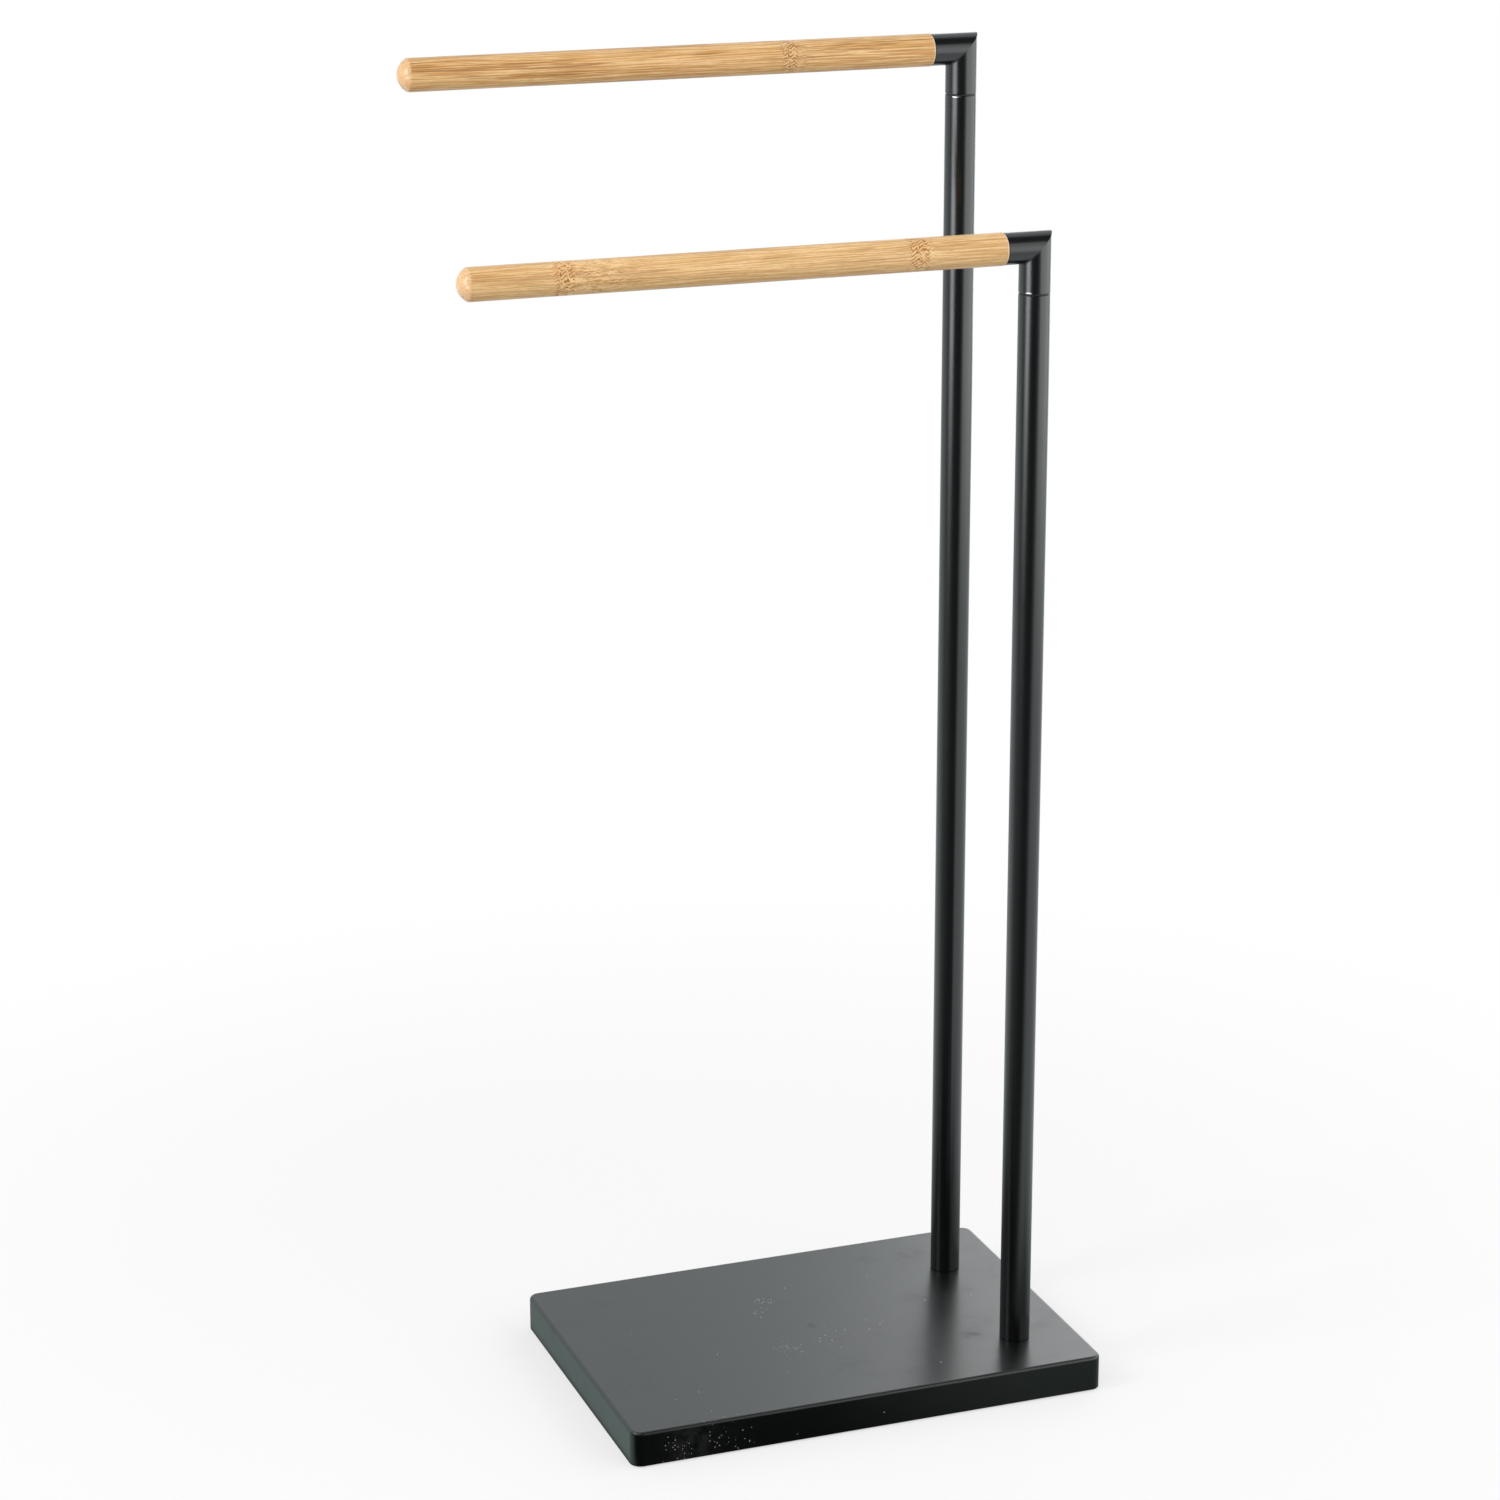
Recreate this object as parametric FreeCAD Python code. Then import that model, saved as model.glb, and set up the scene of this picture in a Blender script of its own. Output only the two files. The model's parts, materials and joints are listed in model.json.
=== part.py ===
import FreeCAD, Part

import math
import os

# Freestanding towel stand with two swivelling arms, in millimetres.
# +Z is up and the floor is z = 0. The origin is the middle of the base at floor level.
# The uprights stand near the base's +X end, one behind the other (+Y is the back), and at rest
# both arms point along -X, over the base.

# ---- driving dimensions ----
BASE_LENGTH = 311.0          # along X
BASE_DEPTH = 215.0           # along Y
BASE_TOP = 23.0              # height of the base's top face above the floor
BASE_CORNER_R = 7.0          # vertical corners
BASE_EDGE_R = 2.0            # rounded edge all round the top
UPRIGHT_X = 115.5            # both uprights, from the middle of the base
REAR_Y = 52.0
FRONT_Y = -61.0
REAR_TOP = 830.0             # top of the rear elbow
FRONT_TOP = 728.0            # top of the front elbow
TUBE_OD = 19.0
TUBE_WALL = 1.2
NECK_DROP = 36.5             # from the elbow's top down to the seam where the arm swivels
ARM_START = 20.5             # from the upright's axis to the elbow's open end, where the bar starts
ARM_REACH = 351.0            # from the upright's axis to the bar's tip
BAR_D = 19.6
BAR_CAP = 6.0                # height of the domed end of the bar
BAR_CHAMFER = 0.5            # at the bar's elbow end

# ---- base ----
COVER_WALL = 1.0             # pressed steel
COVER_RIM_Z = 0.9            # lower edge of the cover, just clear of the floor
UNDERLAY_THICK = 2.0         # rubber sheet that the stand rests on
UNDERLAY_INSET = 3.5         # from the base's outer edge
BOARD_GAP = 0.3              # round the core board, inside the cover
PLATE_THICK = 3.0            # reinforcing plate under the cover's top
PLATE_WIDTH = 44.0
PLATE_OVERHANG = 26.0        # past each upright's axis
PLATE_CORNER_R = 4.0
PLATE_POCKET_GAP = 0.4
PLATE_SCREW_X = 14.0         # screws beside the uprights' centre line
PLATE_SCREW_Y = 24.0         # and this far inwards from each upright
PLATE_SCREW_HEAD_D = 7.0
PLATE_SCREW_HEAD_H = 2.0
PLATE_SCREW_D = 3.5
PLATE_SCREW_LENGTH = 13.0
RECESS_D = 27.0              # bolt recess in the core board, open below
BOARD_WEB = 6.0              # board left between that recess and the reinforcing plate

# ---- fasteners and inner pieces ----
BOLT_D = 8.0
BOLT_HEAD_D = 14.0
BOLT_HEAD_H = 4.4
BOLT_LENGTH = 32.0
BOLT_SOCKET_AF = 5.0
BOLT_SOCKET_DEPTH = 2.6
HOLE_GAP = 0.25              # radial clearance of a bolt in its holes
THREAD_GAP = 0.1             # radial clearance between a plain shank and its plain thread hole
PLUG_GAP = 0.05              # radial clearance of a plug that is welded into its tube
WASHER_OD = 24.0
WASHER_THICK = 2.0
LOCK_WASHER_OD = 14.8
LOCK_WASHER_THICK = 2.0
LOCK_WASHER_SLIT = 1.2
FOOT_INSERT_LENGTH = 28.0
EDGE_BREAK = 0.4             # small chamfers and rounded tube ends

# ---- swivel ----
SEAM_GAP = 0.8               # thickness of the nylon washer between upright and neck
SEAM_WASHER_OD = 18.0
BUSH_LENGTH = 24.0
NECK_PLUG_LENGTH = 11.0
SPINDLE_D = 8.0
SPINDLE_RUNNING_GAP = 0.05   # radial, in the bush
SPINDLE_HEAD_D = 12.5
SPINDLE_HEAD_H = 4.5
CONE_WASHER_OD = 15.0
CONE_WASHER_THICK = 0.8
CONE_WASHER_RISE = 0.9
NUT_AF = 13.0
NUT_HEIGHT = 8.0
NUT_COLLAR_D = 12.4
SPINDLE_TAIL = 1.5           # spindle past the nut

# ---- bar fixing ----
ARM_PLUG_LENGTH = 9.5
STUD_D = 6.0
STUD_IN_PLUG = 8.5
STUD_IN_BAR = 30.0
PILOT_EXTRA = 2.0            # pilot hole past the stud's tip

UP = FreeCAD.Vector(0, 0, 1)
TUBE_R = TUBE_OD / 2
TUBE_INNER_R = TUBE_R - TUBE_WALL
PLUG_R = TUBE_INNER_R - PLUG_GAP
COVER_INNER_TOP = BASE_TOP - COVER_WALL
PLATE_Z = COVER_INNER_TOP - PLATE_THICK
RECESS_TOP = PLATE_Z - BOARD_WEB
UPRIGHT_YS = (REAR_Y, FRONT_Y)


def vec(x, y, z):
    return FreeCAD.Vector(x, y, z)


def at(x, y, z, shape):
    """The same shape, moved by x, y, z."""
    moved = shape.copy()
    moved.translate(vec(x, y, z))
    return moved


def cylinder(radius, z0, z1):
    return Part.makeCylinder(radius, z1 - z0, vec(0, 0, z0), UP)


def ring(outer_r, inner_r, z0, z1):
    return cylinder(outer_r, z0, z1).cut(cylinder(inner_r, z0 - 1, z1 + 1))


def revolved(profile):
    """Solid of revolution about Z from (radius, z) points of a closed outline."""
    points = [vec(r, 0, z) for r, z in profile]
    face = Part.Face(Part.makePolygon(points + points[:1]))
    return face.revolve(vec(0, 0, 0), UP, 360)


def hexagon(across_flats, z0, z1):
    radius = across_flats / math.sqrt(3)
    corners = [vec(radius * math.cos(a), radius * math.sin(a), z0)
               for a in (math.radians(60 * i) for i in range(6))]
    return Part.Face(Part.makePolygon(corners + corners[:1])).extrude(vec(0, 0, z1 - z0))


def slab(length, depth, corner_r, z0, z1):
    """Flat block centred on the origin, with rounded vertical corners."""
    box = Part.makeBox(length, depth, z1 - z0, vec(-length / 2, -depth / 2, z0))
    upright_edges = [e for e in box.Edges if abs(e.tangentAt(e.FirstParameter).z) > 0.9]
    return box.makeFillet(corner_r, upright_edges)


def rounded_on_top(shape, radius):
    """Round the edges that lie on the shape's top."""
    top = shape.BoundBox.ZMax
    edges = [e for e in shape.Edges if e.BoundBox.ZMin > top - 1e-6]
    return shape.makeFillet(radius, edges)


def drilled(shape, radius, z0, z1):
    """Cut the same round hole under both uprights."""
    for y in UPRIGHT_YS:
        shape = shape.cut(at(UPRIGHT_X, y, 0, cylinder(radius, z0, z1)))
    return shape


def pair(shape):
    """Two copies of a shape, one on each upright's axis."""
    return Part.makeCompound([at(UPRIGHT_X, y, 0, shape) for y in UPRIGHT_YS])


# ---- base ----
def base_cover():
    outer = slab(BASE_LENGTH, BASE_DEPTH, BASE_CORNER_R, COVER_RIM_Z, BASE_TOP)
    outer = rounded_on_top(outer, BASE_EDGE_R)
    inner = slab(BASE_LENGTH - 2 * COVER_WALL, BASE_DEPTH - 2 * COVER_WALL,
                 BASE_CORNER_R - COVER_WALL, COVER_RIM_Z - 1, COVER_INNER_TOP)
    inner = rounded_on_top(inner, BASE_EDGE_R - COVER_WALL)
    return drilled(outer.cut(inner), BOLT_D / 2 + HOLE_GAP, COVER_RIM_Z, BASE_TOP + 1)


def plate_outline(gap, z0, z1):
    """Block that covers both uprights' feet: the reinforcing plate, or the pocket that it lies in."""
    span = REAR_Y - FRONT_Y + 2 * PLATE_OVERHANG
    block = slab(PLATE_WIDTH + 2 * gap, span + 2 * gap, PLATE_CORNER_R, z0, z1)
    return at(UPRIGHT_X, (REAR_Y + FRONT_Y) / 2, 0, block)


def plate_screw_spots():
    return [(UPRIGHT_X + sx * PLATE_SCREW_X, y)
            for y in (REAR_Y - PLATE_SCREW_Y, FRONT_Y + PLATE_SCREW_Y)
            for sx in (-1, 1)]


def plate_screw(grow):
    """Countersunk wood screw, head flush with the plate; grow widens it into its clearance hole."""
    head_r = PLATE_SCREW_HEAD_D / 2 + grow
    shank_r = PLATE_SCREW_D / 2 + grow
    top = COVER_INNER_TOP
    tip = top - PLATE_SCREW_LENGTH - grow
    return revolved([(0, top), (head_r, top), (shank_r, top - PLATE_SCREW_HEAD_H),
                     (shank_r, tip + 2), (0.3, tip), (0, tip)])


def reinforcing_plate():
    plate = plate_outline(0, PLATE_Z, COVER_INNER_TOP)
    for x, y in plate_screw_spots():
        plate = plate.cut(at(x, y, 0, plate_screw(THREAD_GAP)))
    return drilled(plate, BOLT_D / 2 + HOLE_GAP, PLATE_Z - 1, COVER_INNER_TOP + 1)


def plate_screws():
    return Part.makeCompound([at(x, y, 0, plate_screw(0)) for x, y in plate_screw_spots()])


def core_board():
    inset = 2 * (COVER_WALL + BOARD_GAP)
    board = slab(BASE_LENGTH - inset, BASE_DEPTH - inset, BASE_CORNER_R - COVER_WALL - BOARD_GAP,
                 UNDERLAY_THICK, COVER_INNER_TOP)
    board = rounded_on_top(board, BASE_EDGE_R - COVER_WALL)
    board = board.cut(plate_outline(PLATE_POCKET_GAP, PLATE_Z, COVER_INNER_TOP + 1))
    for x, y in plate_screw_spots():
        board = board.cut(at(x, y, 0, plate_screw(THREAD_GAP)))
    board = drilled(board, RECESS_D / 2, UNDERLAY_THICK - 1, RECESS_TOP)
    return drilled(board, BOLT_D / 2 + HOLE_GAP, RECESS_TOP - 1, PLATE_Z + 1)


def base_underlay():
    sheet = slab(BASE_LENGTH - 2 * UNDERLAY_INSET, BASE_DEPTH - 2 * UNDERLAY_INSET,
                 BASE_CORNER_R - UNDERLAY_INSET, 0, UNDERLAY_THICK)
    return drilled(sheet, RECESS_D / 2, -1, UNDERLAY_THICK + 1)


def base_washer():
    return ring(WASHER_OD / 2, BOLT_D / 2 + HOLE_GAP, RECESS_TOP - WASHER_THICK, RECESS_TOP)


def lock_washer():
    top = RECESS_TOP - WASHER_THICK
    washer = ring(LOCK_WASHER_OD / 2, BOLT_D / 2 + HOLE_GAP, top - LOCK_WASHER_THICK, top)
    slit = Part.makeBox(LOCK_WASHER_OD, LOCK_WASHER_SLIT, 4 * LOCK_WASHER_THICK,
                        vec(0, -LOCK_WASHER_SLIT / 2, top - 2 * LOCK_WASHER_THICK))
    return washer.cut(slit)


def base_bolt():
    """Socket-head bolt, put in from below; the shank runs up into the upright's foot insert."""
    seat = RECESS_TOP - WASHER_THICK - LOCK_WASHER_THICK
    r = BOLT_D / 2
    tip = seat + BOLT_LENGTH
    bolt = revolved([(0, seat - BOLT_HEAD_H), (BOLT_HEAD_D / 2 - 2, seat - BOLT_HEAD_H),
                     (BOLT_HEAD_D / 2, seat - BOLT_HEAD_H / 2), (BOLT_HEAD_D / 2, seat), (r, seat),
                     (r, tip - 1), (r - 1, tip), (0, tip)])
    low = seat - BOLT_HEAD_H
    return bolt.cut(hexagon(BOLT_SOCKET_AF, low - 1, low + BOLT_SOCKET_DEPTH))


# ---- uprights; these are built on the Z axis at their real heights ----
def rounded_tube(z0, z1):
    tube = ring(TUBE_R, TUBE_INNER_R, z0, z1)
    rims = [e for e in tube.Edges
            if e.Closed and abs(e.BoundBox.XMax - TUBE_R) < 1e-3 and e.BoundBox.ZLength < 1e-6]
    return tube.makeFillet(EDGE_BREAK, rims)


def upright_tube(seam):
    return rounded_tube(BASE_TOP, seam - SEAM_GAP / 2)


def foot_insert():
    plug = cylinder(PLUG_R, BASE_TOP, BASE_TOP + FOOT_INSERT_LENGTH)
    return plug.cut(cylinder(BOLT_D / 2 + THREAD_GAP, BASE_TOP - 1, BASE_TOP + FOOT_INSERT_LENGTH + 1))


def swivel_bush(seam):
    top = seam - SEAM_GAP / 2
    return ring(PLUG_R, SPINDLE_D / 2 + SPINDLE_RUNNING_GAP, top - BUSH_LENGTH, top)


def seam_washer(seam):
    return ring(SEAM_WASHER_OD / 2, SPINDLE_D / 2 + HOLE_GAP, seam - SEAM_GAP / 2, seam + SEAM_GAP / 2)


# ---- arms; these are built on the Z axis too, pointing along -X ----
def mitre_half(top, upper):
    """Big block on one side of the 45 degree plane where neck and arm tube meet."""
    size = 4 * ARM_START
    turn = 45 if upper else 225
    block = Part.makeBox(2 * size, 2 * size, size, vec(-size, -size, 0))
    block.rotate(vec(0, 0, 0), vec(0, 1, 0), -turn)
    return at(0, 0, top - TUBE_R, block)


def elbow_neck(seam, top):
    bottom = seam + SEAM_GAP / 2
    tube = rounded_tube(bottom, top + TUBE_OD)
    return tube.common(mitre_half(top, upper=False))


def elbow_arm(top):
    tube = rounded_tube(-TUBE_OD, ARM_START)
    tube.rotate(vec(0, 0, 0), vec(0, 1, 0), -90)
    return at(0, 0, top - TUBE_R, tube).common(mitre_half(top, upper=True))


def neck_plug(seam):
    bottom = seam + SEAM_GAP / 2
    return ring(PLUG_R, SPINDLE_D / 2 + THREAD_GAP, bottom, bottom + NECK_PLUG_LENGTH)


def swivel_spindle(seam):
    """Headed pin that hangs from the neck plug, through washer, bush, cone washer and nut."""
    seat = seam + SEAM_GAP / 2 + NECK_PLUG_LENGTH
    nut_bottom = nut_top(seam) - NUT_HEIGHT
    r = SPINDLE_D / 2
    tip = nut_bottom - SPINDLE_TAIL
    head_r = SPINDLE_HEAD_D / 2
    head_top = seat + SPINDLE_HEAD_H
    return revolved([(0, tip), (r - 1, tip), (r, tip + 1), (r, seat), (head_r, seat),
                     (head_r, head_top - EDGE_BREAK), (head_r - EDGE_BREAK, head_top), (0, head_top)])


def bush_bottom(seam):
    return seam - SEAM_GAP / 2 - BUSH_LENGTH


def nut_top(seam):
    return bush_bottom(seam) - CONE_WASHER_THICK - CONE_WASHER_RISE


def cone_washer(seam):
    """Conical spring washer: its wide rim presses on the bush, its hole's edge on the nut."""
    inner_r = SPINDLE_D / 2 + HOLE_GAP
    outer_r = CONE_WASHER_OD / 2
    top = bush_bottom(seam)
    return revolved([(outer_r, top), (inner_r, top - CONE_WASHER_RISE),
                     (inner_r, top - CONE_WASHER_RISE - CONE_WASHER_THICK),
                     (outer_r, top - CONE_WASHER_THICK)])


def swivel_nut(seam):
    """Lock nut: a hexagon with a round collar below it."""
    top = nut_top(seam)
    shoulder = top - 0.7 * NUT_HEIGHT
    nut = hexagon(NUT_AF, shoulder, top).fuse(cylinder(NUT_COLLAR_D / 2, top - NUT_HEIGHT, shoulder))
    hole = cylinder(SPINDLE_D / 2 + THREAD_GAP, top - NUT_HEIGHT - 1, top + 1)
    return nut.removeSplitter().cut(hole)


def along_arm(top, shape):
    """Turn a shape built up the Z axis so that it runs along -X on the arm's axis."""
    turned = shape.copy()
    turned.rotate(vec(0, 0, 0), vec(0, 1, 0), -90)
    return at(0, 0, top - TUBE_R, turned)


def arm_plug(top):
    plug = ring(PLUG_R, STUD_D / 2 + THREAD_GAP, ARM_START - ARM_PLUG_LENGTH, ARM_START)
    return along_arm(top, plug)


def bar_stud(top):
    r = STUD_D / 2
    z0 = ARM_START - STUD_IN_PLUG
    z1 = ARM_START + STUD_IN_BAR
    stud = revolved([(0, z0), (r - 0.8, z0), (r, z0 + 0.8), (r, z1 - 4), (0.6, z1), (0, z1)])
    return along_arm(top, stud)


def towel_bar(top):
    """Round bar: chamfered at the elbow, drilled for the stud, and domed at its free end."""
    r = BAR_D / 2
    shoulder = ARM_REACH - BAR_CAP
    chamfer = [vec(0, 0, ARM_START), vec(r - BAR_CHAMFER, 0, ARM_START), vec(r, 0, ARM_START + BAR_CHAMFER),
               vec(r, 0, shoulder)]
    dome_r = (r * r + BAR_CAP * BAR_CAP) / (2 * BAR_CAP)
    half_angle = math.asin(r / dome_r) / 2
    centre_z = ARM_REACH - dome_r
    middle = vec(dome_r * math.sin(half_angle), 0, centre_z + dome_r * math.cos(half_angle))
    tip = vec(0, 0, ARM_REACH)
    edges = Part.makePolygon(chamfer).Edges
    edges.append(Part.Arc(chamfer[-1], middle, tip).toShape())
    edges.append(Part.makeLine(tip, chamfer[0]))
    bar = Part.Face(Part.Wire(edges)).revolve(vec(0, 0, 0), UP, 360)
    pilot = cylinder(STUD_D / 2 + THREAD_GAP, ARM_START - 1, ARM_START + STUD_IN_BAR + PILOT_EXTRA)
    return along_arm(top, bar.cut(pilot))


def post_pieces(name, y, top):
    """Every piece of one upright and its arm, by node name."""
    seam = top - NECK_DROP
    pieces = {
        "upright_tube": upright_tube(seam),
        "foot_insert": foot_insert(),
        "swivel_bush": swivel_bush(seam),
        "seam_washer": seam_washer(seam),
        "elbow_neck": elbow_neck(seam, top),
        "elbow_arm": elbow_arm(top),
        "neck_plug": neck_plug(seam),
        "swivel_spindle": swivel_spindle(seam),
        "cone_washer": cone_washer(seam),
        "swivel_nut": swivel_nut(seam),
        "arm_plug": arm_plug(top),
        "bar_stud": bar_stud(top),
        "towel_bar": towel_bar(top),
    }
    return {f"{name}_{piece}": at(UPRIGHT_X, y, 0, shape) for piece, shape in pieces.items()}


def all_nodes():
    nodes = {
        "base_cover": base_cover(),
        "core_board": core_board(),
        "reinforcing_plate": reinforcing_plate(),
        "plate_screws": plate_screws(),
        "base_underlay": base_underlay(),
        "base_washers": pair(base_washer()),
        "base_lock_washers": pair(lock_washer()),
        "base_bolts": pair(base_bolt()),
    }
    nodes.update(post_pieces("rear", REAR_Y, REAR_TOP))
    nodes.update(post_pieces("front", FRONT_Y, FRONT_TOP))
    return nodes


os.makedirs("parts", exist_ok=True)
for node_name, node_shape in all_nodes().items():
    node_shape.exportStep(f"parts/{node_name}.step")
    print(f"{node_name}: {len(node_shape.Solids)} solid(s), {node_shape.Volume / 1000:.2f} cm3,"
          f" valid {node_shape.isValid()}")
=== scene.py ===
import json
import math

import bpy
from bpy.props import FloatProperty, FloatVectorProperty, IntProperty, PointerProperty
from mathutils import Matrix, Vector


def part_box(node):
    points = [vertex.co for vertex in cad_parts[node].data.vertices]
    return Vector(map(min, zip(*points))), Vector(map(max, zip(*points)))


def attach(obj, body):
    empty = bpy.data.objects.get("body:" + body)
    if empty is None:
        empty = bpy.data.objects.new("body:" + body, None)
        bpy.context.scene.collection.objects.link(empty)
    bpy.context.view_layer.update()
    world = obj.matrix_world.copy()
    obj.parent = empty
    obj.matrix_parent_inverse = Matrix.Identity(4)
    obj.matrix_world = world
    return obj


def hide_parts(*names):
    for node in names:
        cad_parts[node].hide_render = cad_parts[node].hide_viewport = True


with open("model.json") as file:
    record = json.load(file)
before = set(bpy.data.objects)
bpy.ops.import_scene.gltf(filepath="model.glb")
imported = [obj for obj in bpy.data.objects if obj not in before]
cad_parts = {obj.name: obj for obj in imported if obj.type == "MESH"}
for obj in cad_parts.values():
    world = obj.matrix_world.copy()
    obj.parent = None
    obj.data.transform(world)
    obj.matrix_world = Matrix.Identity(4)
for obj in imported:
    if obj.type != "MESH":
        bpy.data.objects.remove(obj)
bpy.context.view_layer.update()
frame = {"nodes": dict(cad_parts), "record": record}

bl_info = {
    "name": "Towel stand finishes",
    "version": (1, 0, 0),
    "blender": (4, 5, 0),
    "location": "View3D > Sidebar > Towel stand",
    "description": "Turns the bamboo bars and finishes every surface of the freestanding towel stand",
    "category": "Object",
}

MM = 0.001


# ---- places taken from the frame

def linear(red, green, blue):
    """A paint-chart colour, 0 to 255 a channel, as the linear values that shaders take."""

    def one(value):
        share = value / 255.0
        return share / 12.92 if share <= 0.04045 else ((share + 0.055) / 1.055) ** 2.4
    return (one(red), one(green), one(blue))


class Bar:
    """Where one towel bar lies: its ends, axis and radius, and its knots along X.

    A knot is (x, width, wake): wake is how far past the knot the grain stays wavy.
    """

    def __init__(self, arm, knots):
        low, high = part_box(arm + "_towel_bar")
        self.tip = low.x
        self.end = high.x
        self.axis_y = (low.y + high.y) / 2
        self.axis_z = (low.z + high.z) / 2
        self.radius = (high.y - low.y) / 2
        self.knots = knots


class Elbow:
    """Where one mitred elbow turns: the tube's axis and radius, and the heights of its corner and seam."""

    def __init__(self, arm):
        low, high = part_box(arm + "_elbow_neck")
        self.axis_x = (low.x + high.x) / 2
        self.axis_y = (low.y + high.y) / 2
        self.radius = (high.y - low.y) / 2
        self.corner_z = high.z
        self.seam_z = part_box(arm + "_upright_tube")[1].z

    def above_seam(self, height):
        return (self.axis_x, self.axis_y, self.seam_z + height)


BARS = {
    "rear": Bar("rear", [(2 * MM, 3.8 * MM, 9 * MM)]),
    "front": Bar("front", [(-175 * MM, 4.8 * MM, 36 * MM), (39 * MM, 5.2 * MM, 9 * MM)]),
}
ELBOWS = {arm: Elbow(arm) for arm in BARS}
BASE_LOW, BASE_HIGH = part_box("base_cover")


# ---- drawing node trees

class Graph:
    """Draws a node tree: each call makes one node, sets it up, wires its inputs and gives back an output."""

    COLUMN, ROW, PER_ROW = 220, 260, 12

    def __init__(self, tree):
        self.tree = tree
        tree.nodes.clear()

    def add(self, kind, settings=None, inputs=None):
        node = self.tree.nodes.new(kind)
        count = len(self.tree.nodes) - 1
        node.location = (count % self.PER_ROW * self.COLUMN, -(count // self.PER_ROW) * self.ROW)
        for name, value in (settings or {}).items():
            setattr(node, name, value)
        for key, value in (inputs or {}).items():
            self.wire(node.inputs[key], value)
        return node

    def wire(self, socket, value):
        """Links an output to the socket. Anything else becomes its value. A colour needs three numbers."""
        if isinstance(value, bpy.types.NodeSocket):
            self.tree.links.new(value, socket)
        elif socket.type == "RGBA":
            socket.default_value = (*tuple(value)[:3], 1.0)
        else:
            socket.default_value = value

    def operate(self, kind, operation, values):
        """A maths node of this kind, its inputs wired in order."""
        node = self.add(kind, {"operation": operation})
        for socket, value in zip(node.inputs, values):
            self.wire(socket, value)
        return node.outputs

    def math(self, operation, *values):
        return self.operate("ShaderNodeMath", operation, values)[0]

    def vector(self, operation, *values):
        outputs = self.operate("ShaderNodeVectorMath", operation, values)
        return outputs["Value" if operation == "LENGTH" else "Vector"]

    def plus(self, first, second):
        return self.math("ADD", first, second)

    def minus(self, first, second):
        return self.math("SUBTRACT", first, second)

    def times(self, first, second):
        return self.math("MULTIPLY", first, second)

    def times_plus(self, value, factor, extra):
        return self.math("MULTIPLY_ADD", value, factor, extra)

    def capped(self, value):
        """The value, but never over 1."""
        return self.math("MINIMUM", value, 1.0)

    def sum(self, values):
        total = values[0]
        for value in values[1:]:
            total = self.plus(total, value)
        return total

    def parts(self, vector):
        node = self.add("ShaderNodeSeparateXYZ", inputs={0: vector})
        return node.outputs[0], node.outputs[1], node.outputs[2]

    def joined(self, x, y, z):
        return self.add("ShaderNodeCombineXYZ", inputs={0: x, 1: y, 2: z}).outputs[0]

    def distance(self, place, centre):
        return self.vector("LENGTH", self.vector("SUBTRACT", place, centre))

    def ramp(self, value, start, stop, low=0.0, high=1.0, smooth=True):
        """As value goes from start to stop, the result goes from low to high and stays there outside."""
        node = self.add(
            "ShaderNodeMapRange",
            {"interpolation_type": "SMOOTHSTEP" if smooth else "LINEAR"},
            {"Value": value, "From Min": start, "From Max": stop, "To Min": low, "To Max": high},
        )
        return node.outputs["Result"]

    def noise(self, vector, scale, detail=2.0, roughness=0.5, distortion=0.0):
        inputs = {"Vector": vector, "Scale": scale, "Detail": detail, "Roughness": roughness}
        return self.add("ShaderNodeTexNoise", inputs=inputs | {"Distortion": distortion}).outputs["Fac"]

    def sway(self, vector, scale, detail):
        """Noise that swings about 0."""
        return self.minus(self.noise(vector, scale, detail=detail), 0.5)

    def hill(self, value, centre, width):
        """1 where value is centre, falling off as a bell on both sides."""
        offset = self.math("DIVIDE", self.minus(value, centre), width)
        return self.math("EXPONENT", self.times(self.times(offset, offset), -1.0))

    def blend(self, factor, first, second):
        """The first colour where factor is 0, the second where it is 1."""
        factor_input, first_input, second_input, colour_output = 0, 6, 7, 2
        inputs = {factor_input: factor, first_input: first, second_input: second}
        return self.add("ShaderNodeMix", {"data_type": "RGBA"}, inputs).outputs[colour_output]

    def shader(self, kind, colour, strength=None):
        """A plain shader of this colour. A light has a strength too."""
        inputs = {"Color": colour} if strength is None else {"Color": colour, "Strength": strength}
        return self.add(kind, inputs=inputs).outputs[0]

    def mix_shaders(self, factor, first, second):
        return self.add("ShaderNodeMixShader", inputs={0: factor, 1: first, 2: second}).outputs[0]

    def inputs_of(self, lengths, counts=()):
        """Gives the tree these inputs, a material and its one output, and gives back the inputs' sockets."""
        kinds = dict.fromkeys(lengths, "Float") | dict.fromkeys(counts, "Int") | {"Material": "Material"}
        for name, kind in kinds.items():
            self.tree.interface.new_socket(name=name, in_out="INPUT", socket_type="NodeSocket" + kind)
        self.tree.interface.new_socket(name="Geometry", in_out="OUTPUT", socket_type="NodeSocketGeometry")
        return self.add("NodeGroupInput").outputs

    def rings(self, count):
        """A path of this many points, and each point's share of the way along it."""
        straight = self.add("GeometryNodeCurvePrimitiveLine", inputs={"Start": (0, 0, 0), "End": (1, 0, 0)})
        path = self.add("GeometryNodeResampleCurve", inputs={"Curve": straight.outputs[0], "Count": count})
        index = self.add("GeometryNodeInputIndex").outputs[0]
        return path.outputs[0], self.math("DIVIDE", index, count - 1.0)

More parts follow.
